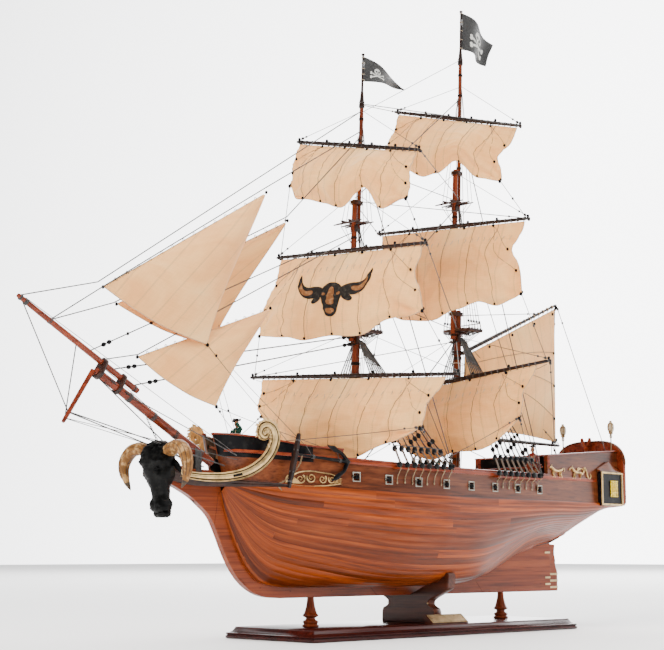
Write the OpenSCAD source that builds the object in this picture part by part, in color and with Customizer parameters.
// Two-masted model sailing ship (brig) on a moulded display stand.
// Units are millimetres. +X runs to the bow, +Y to port, +Z up.
// The origin is the centre of the stand's underside.

/* [Stand] */
// Length of the stand's widest moulding
stand_l = 434; // [420:1:450]
// Breadth of the stand's widest moulding
stand_w = 136; // [128:1:144]
// Height of the stand board
stand_h = 12.4; // [11:0.2:14]
// Distance from the stand's centre to each turned pedestal
pedestal_x = 157; // [150:1:165]
// Height of the keel's underside above the table
keel_z = 43; // [41:0.5:46]

/* [Hull] */
// Largest half breadth of the planking
half_beam = 72; // [68:0.5:76]
// Half breadth at the transom
half_transom = 47; // [44:0.5:50]
// Thickness of the planking and bulwarks
plank_t = 4; // [3:0.5:5]
// Height of the gunport band's lower edge amidships
band_z = 150; // [146:0.5:154]
// Height of the gunport band amidships
band_h = 31; // [28:0.5:34]
// Breadth of the keel and stem
keel_w = 8; // [6:0.5:10]

/* [Masts] */
// Height of the foremast's truck above the table
fore_truck_z = 659; // [650:1:670]
// Height of the mainmast's truck above the table
main_truck_z = 754; // [740:1:765]
// Radius of the lower masts at the deck
mast_r = 5; // [4.5:0.1:5.5]
// Angle that the yards are braced round to at rest, port end aft
brace = 10; // [8:1:12]

/* [Sails] */
// Thickness of the sail cloth
cloth_t = 1; // [0.8:0.1:1.2]
// How far the square sails belly forward
belly = 26; // [20:1:30]

/* [Hidden] */
$fn = 32;

// Running clearance between a moving piece and what it turns on
gap = 0.3;

// ---------- general functions ----------
function mix(a, b, t) = a + (b - a) * t;
function clip(v, lo, hi) = max(lo, min(hi, v));
function smooth(t) = let (c = clip(t, 0, 1)) c * c * (3 - 2 * c);
function unit(v) = v / norm(v);

// A straight round rod between two points
module rod(a, b, r, r2 = undef, sides = 16) {
  d = b - a;
  len = norm(d);
  translate(a)
    rotate([0, acos(d[2] / len), atan2(d[1], d[0])])
      cylinder(h = len, r1 = r, r2 = is_undef(r2) ? r : r2, $fn = sides);
}

// Joins a list of equal closed rings into one solid. A channel's ring runs out along one
// face and back along the other, so its ends close with a strip
module loft(rings, channel = false) {
  n = len(rings[0]);
  m = len(rings);
  points = [for (ring = rings) each ring];
  sides = [for (i = [0:m - 2], j = [0:n - 1])
    let (k = (j + 1) % n, a = i * n + j, b = i * n + k)
      each [[a, b, b + n], [a, b + n, a + n]]];
  far = (m - 1) * n;
  ends = channel
    ? [for (j = [0:n / 2 - 2]) each [[j, n - 1 - j, n - 2 - j, j + 1],
        [far + j, far + j + 1, far + n - 2 - j, far + n - 1 - j]]]
    : [[for (j = [n - 1:-1:0]) j], [for (j = [0:n - 1]) far + j]];
  polyhedron(points, concat(sides, ends), convexity = 6);
}

// A round tube through a list of points, with one radius per point
module tube(path, radii, sides = 8, ref = [0, 0, 1]) {
  last = len(path) - 1;
  loft([for (i = [0:last])
    let (t = unit(path[min(i + 1, last)] - path[max(i - 1, 0)]),
         a = unit(cross(t, ref)),
         b = cross(t, a),
         r = is_list(radii) ? radii[i] : radii)
      [for (j = [sides - 1:-1:0])
        path[i] + r * (a * cos(360 * j / sides) + b * sin(360 * j / sides))]]);
}

// A closed sheet: shape_at(u, v) thickened by the vector along
module sheet(shape_at, along, nu = 14, nv = 10) {
  w = nv + 1;
  count = (nu + 1) * w;
  points = [for (s = [-0.5, 0.5], i = [0:nu], j = [0:nv])
    shape_at(i / nu, j / nv) + along * s];
  skin = [for (i = [0:nu - 1], j = [0:nv - 1])
    let (a = i * w + j, b = a + w, c = b + 1, d = a + 1)
      each [[a, b, c], [a, c, d], [count + a, count + c, count + b], [count + a, count + d, count + c]]];
  rim = [for (i = [0:nu - 1]) i * w, for (j = [0:nv - 1]) nu * w + j,
    for (i = [nu:-1:1]) i * w + nv, for (j = [nv:-1:1]) j];
  k = len(rim);
  edge = [for (i = [0:k - 1])
    let (a = rim[i], b = rim[(i + 1) % k])
      each [[a, a + count, b + count], [a, b + count, b]]];
  polyhedron(points, concat(skin, edge), convexity = 6);
}

// ---------- hull form ----------
// Rabbet line: where the planking meets the keel, stem and counter
rabbet = [[-340, 148], [-320, 145], [-300, 135], [-285, 121], [-270, 109], [-250, 102],
  [-215, 97], [-176, 88.5],
  [-135, 75], [-97, 64], [-55, 57], [-13, 55.3], [113, 55.5], [203, 56], [230, 60], [242, 66],
  [255, 80], [265, 97], [274, 116], [281, 134], [285, 150]];
function rabbet_z(x) = lookup(x, rabbet);
// Lower edge of the gunport band, rising towards the bow
function band_low(x) = band_z + 8 * pow(max(x + 65, 0) / 295, 2);
stern_x = -340;
bow_x = 285;
bow_tip = 288;
widest_x = 20;
// Half breadth of the hull at the band's lower edge
function breadth(x) = x > widest_x
  ? keel_w / 2 + (half_beam - keel_w / 2)
    * pow(1 - pow(clip((x - widest_x) / (bow_tip - widest_x), 0, 1), 2.6), 0.566)
  : half_beam - (half_beam - half_transom) * pow((widest_x - x) / (widest_x - stern_x), 1.15);
// How hollow the section is: 0 is a full bilge and 1 is a hollow run
function hollow(x) = x > 60 ? 0.75 * smooth((x - 60) / 220)
  : x > -262 ? 1.1 * smooth((-20 - x) / 230)
  : 1.1 - 0.6 * smooth((-262 - x) / 40);
function section(u, w) = mix(pow(1 - pow(1 - u, 3.4), 0.29), pow(sin(90 * u), 1.5), w);
function hull_y(x, u) = keel_w / 2 + (breadth(x) - keel_w / 2) * section(u, hollow(x));
function hull_z(x, u) = mix(rabbet_z(x), band_low(x), u);

// Stations along the hull: the rabbet's knots and a point between each pair
stations = [for (i = [0:len(rabbet) - 2], k = [0:1])
  mix(rabbet[i][0], rabbet[i + 1][0], k / 2), bow_x];
levels = 9;
function outer(x) = [for (j = [levels:-1:0]) let (u = j / levels) [hull_y(x, u), hull_z(x, u)]];
function inner(x) = [for (j = [0:levels])
  let (u = j / levels, y = hull_y(x, u), rise = band_low(x) - rabbet_z(x))
    [max(y - plank_t, y * 0.35), hull_z(x, u) + min(plank_t, rise * 0.5) * (1 - u)]];
function mirrored(list) = [for (i = [len(list) - 1:-1:0]) [-list[i][0], list[i][1]]];
function at_x(x, list) = [for (p = list) [x, p[0], p[1]]];
function hull_ring(x) = at_x(x, concat(outer(x), mirrored(outer(x)),
  mirrored(inner(x)), inner(x)));

// Bulwark top: raised at the forecastle and over the quarterdeck
forecastle_x = 168;
quarter_x = -180;
function bulwark_top(x) = x > forecastle_x ? band_low(x) + 40 + 6 * smooth((x - 200) / 80)
  : x < quarter_x ? 204 + 13 * (quarter_x - x) / (quarter_x - stern_x)
  : band_low(x) + band_h;
bulwark_lean = 0.06;
function side_y(x, z) = breadth(x) - bulwark_lean * (z - band_low(x));
bulwark_stations = [for (x = stations) if (abs(x - forecastle_x) > 3 && abs(x - quarter_x) > 3) x];
function bulwark_xs() = concat([for (x = bulwark_stations) if (x < quarter_x) x],
  [quarter_x - 0.5, quarter_x + 0.5],
  [for (x = bulwark_stations) if (x > quarter_x && x < forecastle_x) x],
  [forecastle_x - 0.5, forecastle_x + 0.5],
  [for (x = bulwark_stations) if (x > forecastle_x) x], [286.6]);
// The bow bulwark also leans forward as it rises
bow_flare = 0.3;
function side_x(x, z) = x + bow_flare * (z - band_low(x)) * smooth((x - 235) / 50);
// A strip along the port side: from height low(x) to high(x), from depth a inside to b outside
module side_strip(xs, low, high, a, b) {
  loft([for (x = xs)
    let (z0 = low(x), z1 = high(x), y0 = side_y(x, z0), y1 = side_y(x, z1),
         x0 = side_x(x, z0), x1 = side_x(x, z1),
         c = a * (1 - 0.6 * smooth((x - 270) / 16)))
      [[x0, y0 + b, z0], [x1, y1 + b, z1], [x1, max(y1 - c, 5), z1], [x0, max(y0 - c, 5), z0]]]);
}
module both_sides() {
  children();
  mirror([0, 1, 0]) children();
}

// ---------- decks ----------
deck_t = 3;
main_deck_rise = 4;
quarterdeck_z = 180;
forecastle_z = 188;
deck_gap = 0.2;
function main_deck_z(x) = band_low(x) + main_deck_rise;
module deck_piece(xs, top) {
  loft([for (x = xs)
    let (z = top(x), y = side_y(x, z) - plank_t - deck_gap - 2 * smooth((x - 250) / 30))
      [[x, y, z], [x, y, z - deck_t], [x, -y, z - deck_t], [x, -y, z]]]);
}
function deck_xs(lo, hi, n = 12) = [for (i = [0:n]) mix(lo, hi, i / n)];

// ---------- masts ----------
fore_rake = -0.0424;
main_rake = -0.0374;
function fore_x(z) = 93.4 + fore_rake * (z - 290);
function main_x(z) = -79.6 + main_rake * (z - 328.5);
// Offsets of the lower mast, topmast and topgallant mast from the mast line
lower_dx = -4.6;
topmast_dx = 3.7;
topgallant_dx = -2.8;
fore_top_z = 331;
main_top_z = 350;
fore_trees_z = 455;
main_trees_z = 505;
topmast_r = 3.4;
topgallant_r = 2.5;
top_t = 3;
function fore_at(z, dx) = [fore_x(z) + dx, 0, z];
function main_at(z, dx) = [main_x(z) + dx, 0, z];

// ---------- yards ----------
// Each yard: mast line, offset of its mast, height, half length, tilt, mast radius there
fore_course = [0, lower_dx, 283, 142, -2.5, 4.8];
fore_top = [0, topmast_dx, 424, 103, -1.2, topmast_r];
fore_tgal = [0, topgallant_dx, 547, 88, -11.5, topgallant_r];
main_course = [1, lower_dx, 291, 131, 7, 4.8];
main_top = [1, topmast_dx, 477, 107, -1.4, topmast_r];
main_tgal = [1, topgallant_dx, 613, 93, -14.5, topgallant_r];
yard_r = 2.6;
yard_tip_r = 1.4;
function yard_off(y) = y[5] + gap + 1.6 + yard_r;
module on_yard(y, tilted = true) {
  at = y[0] == 0 ? fore_at(y[2], y[1]) : main_at(y[2], y[1]);
  rake = atan(y[0] == 0 ? fore_rake : main_rake);
  translate(at) rotate([0, rake, 0]) rotate([0, 0, brace])
    translate([tilted ? yard_off(y) : 0, 0, 0])
      rotate([tilted ? y[4] : 0, 0, 0])
        children();
}
// A tapered spar with its parrel ring round the mast
module yard(y) {
  on_yard(y) {
    rod([0, 0, 0], [0, y[3], 0], yard_r, yard_tip_r);
    rod([0, 0, 0], [0, -y[3], 0], yard_r, yard_tip_r);
  }
  on_yard(y, tilted = false)
    translate([0, 0, -2]) difference() {
      cylinder(h = 4, r = y[5] + gap + 1.8);
      translate([0, 0, -1]) cylinder(h = 6, r = y[5] + gap);
    }
}

// ---------- square sails ----------
// A bellied sail below its yard: head half width, foot from a to b, depth at the middle,
// and how much deeper each lower corner hangs
module square_sail(y, head, foot_a, foot_b, depth, drop_a, drop_b, bow = 1) {
  on_yard(y)
    sheet(function(u, v)
      let (s = mix(mix(-head, head, u), mix(foot_a, foot_b, u), v),
           edge = pow(abs(2 * u - 1), 2.5),
           h = depth + edge * (u < 0.5 ? drop_a : drop_b),
           n = bow * belly * pow(sin(180 * mix(0.06, 0.94, u)), 0.8) * sin(mix(0, 140, v)))
        [n, s, -yard_r - gap - v * h],
      [cloth_t, 0, 0]);
}

// ---------- the stand ----------
module stand_base() {
  color([0.23, 0.07, 0.05]) {
    step = stand_h / 4;
    for (s = [[0, 8], [1, 0], [2, 10], [3, 16]])
      translate([0, 0, s[0] * step + step / 2])
        cube([stand_l - s[1], stand_w - s[1], step], center = true);
  }
}

module pedestals() {
  color([0.42, 0.13, 0.06])
    for (x = [-pedestal_x, pedestal_x])
      translate([x, 0, stand_h])
        rotate_extrude()
          polygon([[0, 0], [8.6, 0], [9, 2], [8, 4], [6.4, 5], [7.6, 7], [6, 9], [5, 10.4],
            [8.6, 12], [7, 14.4], [5.4, 17.5], [4.2, 21], [3.7, 26], [3.6, keel_z - stand_h],
            [0, keel_z - stand_h]]);
}

// Outline of the hull's underside at the cradle, one gap outside the planking
cradle_x = 0;
cradle_t = 12;
cradle_arm = 60;
function cradle_top() = [for (j = [0:8])
  let (u = j / 8 * 0.14) [hull_y(cradle_x, u) + gap, hull_z(cradle_x, u) - gap * 2]];
function cradle_half() = concat(
  [[stand_h, 40.5], [26, 40], [32, 29], [37, 30], [43, 45], [50, cradle_arm],
    [62, cradle_arm + 2], [68, cradle_arm - 2]],
  [for (i = [8:-1:0]) [cradle_top()[i][1], cradle_top()[i][0]]],
  [[keel_z - gap, keel_w / 2 + gap]]);
module cradle_board() {
  color([0.2, 0.1, 0.06])
    translate([cradle_x + cradle_t / 2, 0, 0]) rotate([0, -90, 0]) linear_extrude(cradle_t)
      polygon(concat([for (p = cradle_half()) [p[0], p[1]]],
        [for (i = [len(cradle_half()) - 1:-1:0]) [cradle_half()[i][0], -cradle_half()[i][1]]]));
}

// A wedge beside the cradle that carries the plain brass plate
plate_y = 53;
plate_l = 60;
plate_mid = -6.5;
module plate_block() {
  color([0.2, 0.1, 0.06])
    translate([plate_mid - plate_l / 2, plate_y, stand_h]) rotate([90, 0, 90])
      linear_extrude(plate_l)
        polygon([[-12, 0], [0, 0], [0, 0.8], [-11, 9.6], [-12, 9.6]]);
}
module name_plate() {
  color([0.6, 0.45, 0.15])
    translate([plate_mid - plate_l / 2, plate_y, stand_h]) rotate([90, 0, 90])
      translate([0, 0, 0.6]) linear_extrude(plate_l - 1.2)
        polygon([[0, 0.8], [0.5, 1.5], [-10.5, 10.3], [-11, 9.6]]);
}

// ---------- hull ----------
module keel_and_stem() {
  color([0.62, 0.36, 0.2])
    translate([0, keel_w / 2, 0]) rotate([90, 0, 0]) linear_extrude(keel_w)
      polygon(concat(
        [[-249.4, keel_z], [203, keel_z], [222, 44.5], [236, 48], [247, 53], [259, 61],
          [270, 73], [280, 89], [289, 108], [299, 126], [312, 136], [326, 146], [349, 156],
          [352, 178], [318, 172], [300, 172], [288.4, 168], [287, 160], [285, 150]],
        [for (i = [len(rabbet) - 2:-1:0]) if (rabbet[i][0] > -249) rabbet[i]],
        [[-249.4, rabbet_z(-249.4)]]));
}

module hull_shell() {
  color([0.62, 0.24, 0.09]) loft([for (x = stations) hull_ring(x)], channel = true);
}

// The orange strake below the gunport band, one on each side
wale_h = 14;
wale_t = 1.4;
wale_aft = -325;
module wales() {
  color([0.72, 0.26, 0.08]) both_sides()
    loft([for (x = [for (s = stations) if (s < 283 && s > wale_aft) s])
      let (z1 = band_low(x),
           u0 = max((z1 - wale_h - rabbet_z(x)) / (z1 - rabbet_z(x)), 0.6 * smooth((-262 - x) / 30)),
           z0 = mix(rabbet_z(x), z1, u0),
           y0 = hull_y(x, u0), y1 = breadth(x))
        [[x, y0 + wale_t, z0], [x, y1 + wale_t, z1], [x, y1 + 0.1, z1], [x, y0 + 0.1, z0]]]);
}

// Gunports: eight a side
port_xs = [for (i = [0:7]) 153 - 44.6 * i];
port_rise = 13.5;
port_w = 8;
module port_cutters() {
  for (x = port_xs)
    translate([x, side_y(x, band_low(x)), band_low(x) + port_rise])
      cube([port_w - 1, 24, port_w - 1], center = true);
}
module port_bulwark_solid() {
  difference() {
    side_strip(bulwark_xs(), function(x) band_low(x), function(x) bulwark_top(x), plank_t, 0);
    port_cutters();
  }
}
module port_bulwark() {
  color([0.22, 0.11, 0.07]) port_bulwark_solid();
}
module starboard_bulwark() {
  color([0.22, 0.11, 0.07]) mirror([0, 1, 0]) port_bulwark_solid();
}

rail_t = 2;
rail_out = 1.5;
module rail_run(xs, low) {
  side_strip(xs, low, function(x) low(x) + rail_t, plank_t + rail_out, rail_out);
}
module cap_rails() {
  color([0.66, 0.25, 0.09]) both_sides() {
    rail_run([for (x = bulwark_xs()) if (x < quarter_x) x], function(x) bulwark_top(x));
    rail_run([for (x = bulwark_xs()) if (x > quarter_x && x < forecastle_x) x],
      function(x) bulwark_top(x));
    rail_run([for (x = bulwark_xs()) if (x > forecastle_x) x], function(x) bulwark_top(x));
  }
}

module mast_hole(x) {
  translate([x, 0, 100]) cylinder(h = 120, r = mast_r + 0.6);
}
module decks() {
  color([0.66, 0.45, 0.25]) {
    difference() {
      deck_piece(deck_xs(stern_x + 1, 279, 24), function(x) main_deck_z(x));
      mast_hole(fore_x(155) + lower_dx);
      mast_hole(main_x(155) + lower_dx);
    }
    deck_piece(deck_xs(stern_x + 1, quarter_x - 1), function(x) quarterdeck_z);
    deck_piece(deck_xs(forecastle_x + 2, 279), function(x) forecastle_z);
    translate([quarter_x + 0.5, 0, 165.5]) cube([2, 100, 22.4], center = true);
    translate([forecastle_x + 0.5, 0, 172.2]) cube([2, 98, 25], center = true);
  }
}

transom_t = 5;
transom_top = 236;
module transom_outline(grow = 0) {
  polygon([[147, 40 + grow], [156, half_transom + grow], [196, half_transom + grow],
    for (a = [0:15:180]) [200 + (transom_top - 200 + grow) * sin(a),
      (half_transom - 1 + grow) * cos(a)],
    [196, -half_transom - grow], [156, -half_transom - grow], [147, -40 - grow]]);
}
module transom() {
  color([0.4, 0.15, 0.07])
    translate([stern_x - 0.1, 0, 0]) rotate([0, -90, 0]) linear_extrude(transom_t)
      transom_outline();
}

// Quarter galleries: a shallow glazed box on each quarter with a sloped roof
gallery_x0 = -338;
gallery_x1 = -288;
gallery_t = 5;
module quarter_galleries() {
  color([0.2, 0.1, 0.06]) both_sides() {
    loft([for (x = [gallery_x0, -322, -305, gallery_x1])
      let (y = side_y(x, 170) + 1.2)
        [[x, y, 150.4], [x, y + gallery_t, 151], [x, y + gallery_t, 190], [x, y, 190]]]);
    loft([for (x = [gallery_x0, -322, -305, gallery_x1])
      let (y = side_y(x, 190) + 1.9)
        [[x, y, 190.2], [x, y + gallery_t + 1, 190.2], [x, y, 200]]]);
  }
}
module gallery_windows() {
  color([0.75, 0.55, 0.12]) both_sides()
    translate([-311, side_y(-311, 170) + gallery_t + 1.4, 0]) {
      yaw = atan2(side_y(gallery_x1, 170) - side_y(gallery_x0, 170), gallery_x1 - gallery_x0);
      rotate([0, 0, yaw]) translate([0, 0, 164])
        for (i = [-1, 1], k = [0, 1])
          translate([i * 4.4, 0.6, k * 8]) cube([7, 1, 7], center = true);
    }
}

lantern_y = 38;
lantern_x = -336.5;
module stern_lanterns() {
  color([0.35, 0.24, 0.12]) both_sides()
    translate([lantern_x, lantern_y, 208]) rotate_extrude()
      polygon([[0, 0], [1.2, 0], [0.8, 12], [0.8, 24], [3, 25], [2.8, 27], [4, 29], [4.4, 36],
        [3, 38], [1, 41], [0, 41]]);
}

module gunport_frames() {
  color([0.5, 0.5, 0.46]) both_sides()
    for (x = port_xs)
      translate([x, side_y(x, band_low(x) + port_rise) + 0.7, band_low(x) + port_rise])
        rotate([0, 0, -atan2(side_y(x - 5, 165) - side_y(x + 5, 165), 10)])
          difference() {
            cube([port_w + 1.5, 1, port_w + 1.5], center = true);
            cube([port_w - 1.6, 4, port_w - 1.6], center = true);
          }
}
barrel_r = 1.9;
module gun_barrels() {
  color([0.08, 0.08, 0.08]) both_sides()
    for (x = port_xs) {
      y = side_y(x, band_low(x) + port_rise);
      z = band_low(x) + port_rise;
      difference() {
        union() {
          rod([x, y - 22, z], [x, y + 2.4, z], 2.6, barrel_r);
          translate([x, y - 15, z - 4]) cube([7, 13, 5], center = true);
        }
        rod([x, y - 6, z], [x, y + 4, z], 0.9);
      }
    }
}

channel_runs = [[97, 17, 181.5], [-73, -154, 178.5]];
channel_w = 7;
module channels() {
  color([0.5, 0.2, 0.08]) both_sides()
    for (c = channel_runs)
      loft([for (i = [0:4])
        let (x = mix(c[1] - 4, c[0] + 4, i / 4), y = side_y(x, c[2]) + 0.1)
          [[x, y, c[2] - 4], [x, y + channel_w, c[2] - 4], [x, y + channel_w, c[2] - 2],
            [x, y, c[2] - 2]]]);
}
shroud_count = 8;
function shroud_foot(c, i) = let (x = mix(c[0], c[1], i / (shroud_count - 1)))
  [x, side_y(x, c[2]) + channel_w - 1.6, c[2] - 1.8];
module chainplates() {
  color([0.45, 0.33, 0.15]) both_sides()
    for (c = channel_runs, i = [0:shroud_count - 1]) {
      foot = shroud_foot(c, i);
      rod(foot - [0, 0, 0.4] + [0, 2.9, 0],
        [foot[0], side_y(foot[0], 171) + 0.9, band_low(foot[0]) + 20.2], 0.5);
      translate(foot + [0, 0.4, 2.6]) rotate([90, 0, 0]) cylinder(h = 2, r = 2.4, center = true);
      translate(foot + [0, -2.6, 21]) rotate([90, 0, 0]) cylinder(h = 2, r = 2.4, center = true);
    }
}

// Shrouds: from the deadeyes to the mast under the top, and from the top to the crosstrees
line_r = 0.5;
module shroud_set(c, head) {
  both_sides()
    for (i = [0:shroud_count - 1]) {
      foot = shroud_foot(c, i) + [0, 0, 5.2];
      rod(foot, head + [-1.2 * i, 3.5, -6 - 0.4 * i], line_r);
    }
}
module upper_set(low, high) {
  both_sides() for (i = [0:3])
    rod(low + [-4 - 5 * i, 18, 2.2], high + [-2 - i, 3, -4], line_r);
}
module shrouds() {
  color([0.05, 0.05, 0.05]) {
    shroud_set(channel_runs[0], fore_at(fore_top_z, lower_dx));
    shroud_set(channel_runs[1], main_at(main_top_z, lower_dx));
    upper_set(fore_at(fore_top_z, lower_dx), fore_at(fore_trees_z, topmast_dx));
    upper_set(main_at(main_top_z, lower_dx), main_at(main_trees_z, topmast_dx));
  }
}

// ---------- masts ----------
module lower_mast(foot, head) {
  rod(foot, head, mast_r, mast_r - 0.8, 32);
}
module upper_mast(top0, top1, tg0, tg1, staff) {
  rod(top0, top1, topmast_r, topmast_r, 32);
  rod(tg0, tg1, topgallant_r, topgallant_r, 32);
  rod(tg1, tg1 + (staff - tg1) * 0.3, topgallant_r + 0.4, topgallant_r + 0.4, 32);
  rod(tg1, staff, 1.5, 1.1, 24);
}
module fore_lower_mast() {
  color([0.36, 0.11, 0.06]) lower_mast(fore_at(155, lower_dx), fore_at(356, lower_dx));
}
module main_lower_mast() {
  color([0.36, 0.11, 0.06]) lower_mast(main_at(152, lower_dx), main_at(376, lower_dx));
}
module fore_upper_mast() {
  color([0.5, 0.16, 0.08])
    upper_mast(fore_at(322, topmast_dx), fore_at(484, topmast_dx), fore_at(450, topgallant_dx),
      fore_at(593, topgallant_dx), fore_at(fore_truck_z, topgallant_dx));
}
module main_upper_mast() {
  color([0.5, 0.16, 0.08])
    upper_mast(main_at(341, topmast_dx), main_at(549, topmast_dx), main_at(500, topgallant_dx),
      main_at(683, topgallant_dx), main_at(main_truck_z, topgallant_dx));
}

// A platform round the lower mast head, with the doubling cap above it
module platform(at, dx, w, l) {
  difference() {
    translate(at - [6, 0, 0]) linear_extrude(top_t)
      polygon([[l, -w * 0.5], [l, w * 0.5], [l * 0.6, w], [-l, w], [-l, -w], [l * 0.6, -w]]);
    translate(at - [0, 0, 5]) cylinder(h = 12, r = mast_r + 0.6);
    translate(at + [dx, 0, -5]) cylinder(h = 12, r = topmast_r + 0.6);
  }
}
module mast_cap(low_at, high_at, low_r, high_r) {
  difference() {
    hull() {
      translate(low_at) cylinder(h = 4, r = low_r + 2);
      translate(high_at) cylinder(h = 4, r = high_r + 2);
    }
    translate(low_at - [0, 0, 2]) cylinder(h = 8, r = low_r + 0.15);
    translate(high_at - [0, 0, 2]) cylinder(h = 8, r = high_r + 0.15);
  }
}
module trees(at, dx) {
  difference() {
    union() {
      for (x = [-7, 0, 12]) translate(at + [x, 0, 1]) cube([2.4, 44, 2], center = true);
      for (y = [-5.5, 5.5]) translate(at + [2, y, 3]) cube([26, 2, 2], center = true);
    }
    translate(at - [0, 0, 5]) cylinder(h = 14, r = topmast_r + 0.5);
    translate(at + [dx, 0, -5]) cylinder(h = 14, r = topgallant_r + 0.5);
  }
}
module tops() {
  color([0.16, 0.08, 0.05]) {
    platform(fore_at(fore_top_z, lower_dx), topmast_dx - lower_dx, 21, 15);
    platform(main_at(main_top_z, lower_dx), topmast_dx - lower_dx, 21, 15);
    mast_cap(fore_at(350, lower_dx), fore_at(350, topmast_dx), mast_r - 0.8, topmast_r);
    mast_cap(main_at(370, lower_dx), main_at(370, topmast_dx), mast_r - 0.8, topmast_r);
    trees(fore_at(fore_trees_z, topmast_dx), topgallant_dx - topmast_dx);
    trees(main_at(main_trees_z, topmast_dx), topgallant_dx - topmast_dx);
    mast_cap(fore_at(478, topmast_dx), fore_at(478, topgallant_dx), topmast_r, topgallant_r);
    mast_cap(main_at(543, topmast_dx), main_at(543, topgallant_dx), topmast_r, topgallant_r);
  }
}

// Flags fly aft from the flagstaffs: a pennant forward and a rectangle aft
module flags() {
  color([0.04, 0.04, 0.04]) {
    sheet(function(u, v)
      fore_at(mix(mix(655, 626, v), 632, u), topgallant_dx)
        + [-2 - 74 * u, 5 * sin(300 * u), 0],
      [0, cloth_t, 0], 12, 4);
    sheet(function(u, v)
      main_at(mix(mix(751, 704, v), mix(725, 694, v), u), topgallant_dx)
        + [-2 - mix(64, 50, v) * u, 6 * sin(330 * u), 0],
      [0, cloth_t, 0], 12, 5);
  }
}

// ---------- bowsprit and head ----------
sprit_heel = [296, 0, 179.5];
sprit_end = [440, 0, 261];
sprit_dir = unit(sprit_end - sprit_heel);
sprit_up = [-sprit_dir[2], 0, sprit_dir[0]];
sprit_r = 4.2;
boom_r = 3.2;
boom_rise = 11;
boom_base = sprit_heel + sprit_dir * 114 + sprit_up * boom_rise;
boom_len = 160;
module bowsprit() {
  color([0.36, 0.11, 0.06]) rod(sprit_heel, sprit_end, sprit_r + 0.4, sprit_r, 32);
}
module jib_boom() {
  color([0.36, 0.11, 0.06])
    rod(boom_base, boom_base + sprit_dir * boom_len, boom_r, boom_r - 0.8, 32);
}
module bowsprit_cap() {
  low = sprit_end - sprit_dir * 6;
  high = low + sprit_up * boom_rise;
  color([0.16, 0.08, 0.05]) difference() {
    hull() {
      rod(low, low + sprit_dir * 5, sprit_r + 2.4);
      rod(high, high + sprit_dir * 5, boom_r + 2.4);
    }
    rod(low - sprit_dir * 2, low + sprit_dir * 8, sprit_r + 0.4, undef, 32);
    rod(high - sprit_dir * 2, high + sprit_dir * 8, boom_r + 0.4, undef, 32);
  }
}
striker_top = sprit_end + sprit_dir * 3 - sprit_up * 1;
striker_foot = [476, 0, 210];
module dolphin_striker() {
  color([0.42, 0.13, 0.07]) rod(striker_top, striker_foot, 2.3, 2, 24);
}

// The carved bull's head under the bowsprit, and its horns
head_at = [362, 0, 160];
module figurehead() {
  color([0.05, 0.05, 0.05]) {
    hull() {
      translate(head_at + [1, 0, 24]) sphere(r = 12, $fn = 16);
      translate(head_at + [3, 11, 16]) sphere(r = 8, $fn = 12);
      translate(head_at + [3, -11, 16]) sphere(r = 8, $fn = 12);
    }
    hull() {
      translate(head_at + [0, 0, 10]) sphere(r = 14, $fn = 16);
      translate(head_at + [-3, 0, -14]) sphere(r = 11, $fn = 16);
      translate(head_at + [-5, 0, -26]) sphere(r = 10, $fn = 16);
    }
  }
}
horn_path = [[361, 12.6, 186], [362, 21, 189.5], [364, 31, 190.5], [366, 40, 187], [367, 46.5, 179],
  [367, 48, 170], [366, 44.5, 160.5], [366, 38, 153]];
horn_radii = [7.4, 7.2, 6.8, 6.2, 5.2, 4, 2.5, 0.5];
module figurehead_horns() {
  color([0.5, 0.36, 0.18]) both_sides()
    difference() {
      tube(horn_path, horn_radii, 10, [1, 0, 0]);
      figurehead_clear();
    }
}
module figurehead_clear() {
  hull() {
    translate(head_at + [1, 0, 24]) sphere(r = 12.3, $fn = 16);
    translate(head_at + [3, 11, 16]) sphere(r = 8.3, $fn = 12);
    translate(head_at + [3, -11, 16]) sphere(r = 8.3, $fn = 12);
  }
}

// Carved scrolls that sweep from the stem back to a volute on each bow
scroll_path = [[343, 7, 167], [330, 16, 164], [316, 27, 163], [302, 37, 164], [288, 45, 168],
  [276, 51, 176], [266, 55, 187], [260, 57, 198], [258, 57, 208], [262, 56, 215],
  [269, 54, 215], [272, 53, 208], [267, 54, 203]];
module head_scrolls() {
  color([0.72, 0.55, 0.25]) both_sides()
    tube(scroll_path, [3, 3.6, 4.2, 4.6, 4.8, 4.8, 4.6, 4.2, 3.8, 3.4, 3, 2.6, 2], 8);
}

// Gilt appliqués on the band: an openwork piece at the bow and two beasts at the quarter
module gilt_ornaments() {
  color([0.75, 0.58, 0.25]) both_sides() {
    for (p = [[213, 54, 13, 13], [-205, 26, 26, 13], [-252, 36, 36, 13]])
      loft([for (i = [0:6])
        let (x = p[0] + p[2] * (i / 6 - 0.5),
             rise = p[0] > 0 ? 5 : 32,
             mid = band_low(x) + rise + 6,
             half = 5.5 * sin(mix(35, 145, i / 6)),
             y = side_y(x, mid) + 0.5)
          [[x, y, mid - half], [x, y + 2, mid - half], [x, y + 2, mid + half], [x, y, mid + half]]]);
  }
}

// Anchors lashed outside the bow rail
module anchors() {
  color([0.06, 0.06, 0.06]) both_sides() {
    y = side_y(200, 180) + 8;
    rod([236, y - 3, 188], [166, y + 1.5, 183], 1.4);
    rod([232, y - 2, 209], [246, y - 2, 154], 2.2, 1.6);
    translate([166, y + 1.5, 183]) sphere(r = 2.6, $fn = 16);
    rod([165.6, y + 1.4, 183.3], [194, y + 1, 196], 1.7, 0.8);
    rod([165.7, y + 1.6, 182.6], [186, y + 1, 165], 1.7, 0.8);
  }
}

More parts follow.
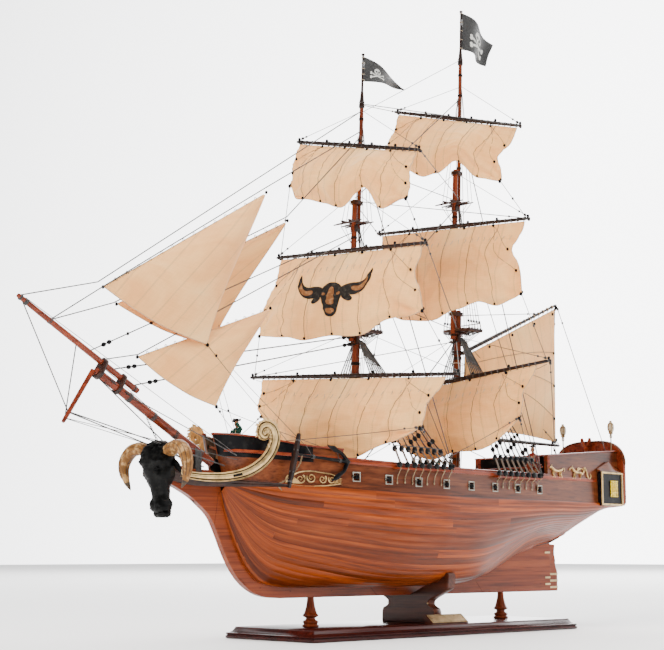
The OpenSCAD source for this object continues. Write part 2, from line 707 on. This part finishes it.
// Small painted deck figures
module figure(at) {
  translate(at) {
    cylinder(h = 18, r1 = 4.6, r2 = 3.6);
    translate([0, 0, 18]) cylinder(h = 9, r1 = 3.8, r2 = 3);
    translate([0, 0, 30.6]) sphere(r = 3.2);
    translate([0, 0, 32.8]) cylinder(h = 1, r = 4.6);
    translate([0, 0, 26.6]) cylinder(h = 2, r = 1.4);
  }
}
module deck_figures() {
  color([0.1, 0.28, 0.16]) {
    figure([250, -14, forecastle_z + 0.2]);
    figure([-196, 22, quarterdeck_z + 0.2]);
    figure([-22, 22, main_deck_z(-22) + 0.2]);
  }
}

// Hatch grating, boom crutch, wheel stand and steps
wheel_x = -226;
wheel_z = 197;
module deck_fittings() {
  color([0.45, 0.22, 0.1]) {
    hatch_z = main_deck_z(10);
    difference() {
      translate([10, 0, hatch_z + 3.2]) cube([54, 40, 5.6], center = true);
      for (i = [-5:5], k = [-3:3])
        translate([10 + i * 4.6, k * 5.2, hatch_z + 6]) cube([2.4, 2.6, 6], center = true);
    }
    translate([wheel_x - 6, 0, (quarterdeck_z + wheel_z) / 2 + 1])
      cube([5, 7, wheel_z - quarterdeck_z - 1], center = true);
    rod([-341.5 + 7, 0, quarterdeck_z + 0.2], [-341.5 + 7, 0, 226], 2);
    rod([-334.5, 0, 225], [-334.5, 5, 237], 1.5);
    rod([-334.5, 0, 225], [-334.5, -5, 237], 1.5);
  }
}

// ---------- headsails ----------
// A three-cornered sail between tack, head and clew, bellied to port
module headsail(tack, head, clew, bow) {
  sheet(function(u, v)
    let (top = mix(tack, head, u), low = mix(tack, clew, u), p = mix(low, top, v))
      p + [0, bow * sin(180 * v) * pow(sin(180 * u), 0.7), 0],
    [0, cloth_t, 0], 10, 8);
}
module outer_jib() {
  color([0.88, 0.72, 0.52]) headsail([437, 6, 342], [222, -3, 470], [312, 10, 298], 12);
}
module inner_jib() {
  color([0.88, 0.72, 0.52]) headsail([414, -3, 329], [190, -4, 444], [280, -22, 304], -6);
}
module staysail() {
  color([0.88, 0.72, 0.52]) headsail([390, 0, 279], [216, -2, 345], [301, 12, 236], 10);
}

// ---------- standing rigging ----------
function on_boom(s) = boom_base + sprit_dir * s + sprit_up * boom_r;
module line_through(points, r) {
  for (i = [0:len(points) - 2]) rod(points[i], points[i + 1], r);
  for (i = [1:1:len(points) - 2]) translate(points[i]) sphere(r = r, $fn = 16);
}
module standing_rigging() {
  color([0.05, 0.05, 0.05]) {
    // forestays from the bowsprit and jib boom: the upper ones bend at the sails' tacks
    line_through([on_boom(boom_len - 4), [440, 0, 347], fore_at(590, topgallant_dx)], line_r);
    line_through([on_boom(boom_len - 42), [440, 7, 341], [223, -2, 476],
      fore_at(566, topgallant_dx)], line_r);
    line_through([on_boom(boom_len - 43), [417, -5, 330], [189, -5, 450],
      fore_at(560, topgallant_dx)], line_r);
    rod(on_boom(66), fore_at(447, topmast_dx), line_r);
    line_through([on_boom(50), [391, 1, 281], fore_at(441, topmast_dx)], line_r);
    rod(on_boom(34), fore_at(329, lower_dx), line_r + 0.2);
    rod(on_boom(6), fore_at(321, lower_dx), line_r + 0.2);
    // stays between the masts
    rod(main_at(346, lower_dx), [fore_x(168) - 2, 0, 170], line_r + 0.2);
    rod(main_at(500, topmast_dx), fore_at(337, topmast_dx), line_r);
    rod(main_at(640, topgallant_dx), fore_at(486, topmast_dx), line_r);
    // martingales and bobstays
    rod(boom_base + sprit_dir * (boom_len - 4), striker_foot + [-6, 0, 9], line_r);
    rod(striker_top - [2, 0, 4], [318, 0, 170], line_r);
    both_sides() {
      rod(striker_foot + [-6, 1, 10], [292, 16, 176], line_r);
      // backstays from the topgallant masts to the channels
      rod(fore_at(540, topgallant_dx - 2), shroud_foot(channel_runs[0], 7) + [-4, 1.4, 0],
        line_r);
      rod(main_at(606, topgallant_dx - 2), shroud_foot(channel_runs[1], 7) + [-4, 1.4, 0],
        line_r);
    }
  }
}

// Braces from the yard ends: each stops one gap short of its yard
function yard_tip(y, side) =
  let (m = y[0] == 0 ? fore_at(y[2], y[1]) : main_at(y[2], y[1]),
       off = yard_off(y), s = side * (y[3] - 1) * cos(y[4]))
    m + [off * cos(brace) - s * sin(brace), off * sin(brace) + s * cos(brace),
      side * (y[3] - 1) * sin(y[4])];
module brace_line(y, side, to) {
  tip = yard_tip(y, side);
  rod(tip + unit(to - tip) * 4, to, 0.4);
}
module running_rigging() {
  color([0.05, 0.05, 0.05]) {
    for (side = [-1, 1]) {
      brace_line(fore_course, side, main_at(338, lower_dx) + [6, 3 * side, 0]);
      brace_line(fore_top, side, main_at(354, topmast_dx) + [-2, 4 * side, 0]);
      brace_line(fore_tgal, side, main_at(513, topmast_dx) + [-2, 4 * side, 0]);
      brace_line(main_course, side, [-200, side * (side_y(-200, 208) - 1), 206]);
      brace_line(main_top, side, fore_at(482, topmast_dx) + [-2, 3 * side, 0]);
      brace_line(main_tgal, side, fore_at(598, topgallant_dx) + [-2, 2 * side, 0]);
    }
  }
}

// ---------- moving pieces ----------
rudder_axis_x = -252;
rudder_z1 = 101;
module rudder() {
  color([0.52, 0.26, 0.14]) {
    rod([rudder_axis_x, 0, keel_z], [rudder_axis_x, 0, rudder_z1], 2.2, undef, 32);
    translate([0, 2, 0]) rotate([90, 0, 0]) linear_extrude(4)
      polygon([[rudder_axis_x, keel_z], [rudder_axis_x, rudder_z1], [-262, rudder_z1 - 1],
        [-260, 90], [-263, 80], [-262, 73], [-266, 67], [-266, keel_z]]);
  }
}
wheel_r = 10;
module helm_wheel() {
  color([0.5, 0.24, 0.1])
    translate([wheel_x, 0, wheel_z]) rotate([0, 90, 0]) {
      difference() {
        cylinder(h = 2.4, r = wheel_r);
        translate([0, 0, -1]) cylinder(h = 5, r = wheel_r - 2);
      }
      cylinder(h = 3, r = 2.4);
      translate([0, 0, -3]) cylinder(h = 4, r = 1);
      for (a = [0:45:315]) rotate([0, 0, a])
        translate([0, 0, 1.2]) rotate([0, 90, 0]) cylinder(h = wheel_r + 3, r = 0.7, $fn = 16);
    }
}

yard_color = [0.07, 0.05, 0.04];
cloth_color = [0.88, 0.72, 0.52];
module fore_course_yard() { color(yard_color) yard(fore_course); }
module fore_course_sail() {
  color(cloth_color) square_sail(fore_course, 124, -116, 100, 88, -46, -34);
}
module fore_topsail_yard() { color(yard_color) yard(fore_top); }
module fore_topsail() {
  color(cloth_color) square_sail(fore_top, 96, -116, 104, 94, -8, -22);
}
module fore_topgallant_yard() { color(yard_color) yard(fore_tgal); }
module fore_topgallant_sail() {
  color(cloth_color) square_sail(fore_tgal, 82, -80, 86, 62, -8, 0);
}
module main_course_yard() { color(yard_color) yard(main_course); }
module main_course_sail() {
  color(cloth_color) square_sail(main_course, 112, -84, 86, 86, -30, -30, 0.9);
}
module main_topsail_yard() { color(yard_color) yard(main_top); }
module main_topsail() {
  color(cloth_color) square_sail(main_top, 100, -92, 102, 106, -10, -26);
}
module main_topgallant_yard() { color(yard_color) yard(main_tgal); }
module main_topgallant_sail() {
  color(cloth_color) square_sail(main_tgal, 87, -84, 86, 66, -10, -4);
}

// The gaff and boom, with jaws that ride on the mainmast
gaff_z = 343;
boom_z = 226;
module spar_ring(z) {
  translate(main_at(z, lower_dx)) rotate([0, atan(main_rake), 0]) difference() {
    translate([0, 0, -2]) cylinder(h = 4, r = mast_r + gap + 2);
    translate([0, 0, -3]) cylinder(h = 6, r = mast_r + gap);
  }
}
module spanker_spars() {
  color(yard_color) {
    spar_ring(gaff_z - 18);
    spar_ring(boom_z);
    rod(main_at(gaff_z - 18, lower_dx) - [7, 0, 0], [-278, 0, 405], 2.4, 1.5);
    rod(main_at(boom_z, lower_dx) - [7, 0, 0], [-279, 0, 224], 2.6, 1.8);
  }
}
module spanker_sail() {
  color(cloth_color)
    sheet(function(u, v)
      let (top = mix([-97, 0, 322], [-273, 0, 398], u), low = mix([-95, 0, 232], [-270, 0, 229], u))
        mix(top, low, v) + [0, 14 * sin(180 * u) * sin(180 * v), 0],
      [0, cloth_t, 0], 12, 8);
}

stand_base();
pedestals();
cradle_board();
plate_block();
name_plate();
keel_and_stem();
hull_shell();
wales();
port_bulwark();
starboard_bulwark();
cap_rails();
decks();
transom();
quarter_galleries();
gallery_windows();
stern_lanterns();
gunport_frames();
gun_barrels();
channels();
chainplates();
shrouds();
standing_rigging();
fore_lower_mast();
fore_upper_mast();
main_lower_mast();
main_upper_mast();
tops();
flags();
bowsprit();
jib_boom();
bowsprit_cap();
dolphin_striker();
figurehead();
figurehead_horns();
head_scrolls();
gilt_ornaments();
anchors();
deck_figures();
deck_fittings();
outer_jib();
inner_jib();
staysail();
running_rigging();
rudder();
helm_wheel();
fore_course_yard();
fore_course_sail();
fore_topsail_yard();
fore_topsail();
fore_topgallant_yard();
fore_topgallant_sail();
main_course_yard();
main_course_sail();
main_topsail_yard();
main_topsail();
main_topgallant_yard();
main_topgallant_sail();
spanker_spars();
spanker_sail();
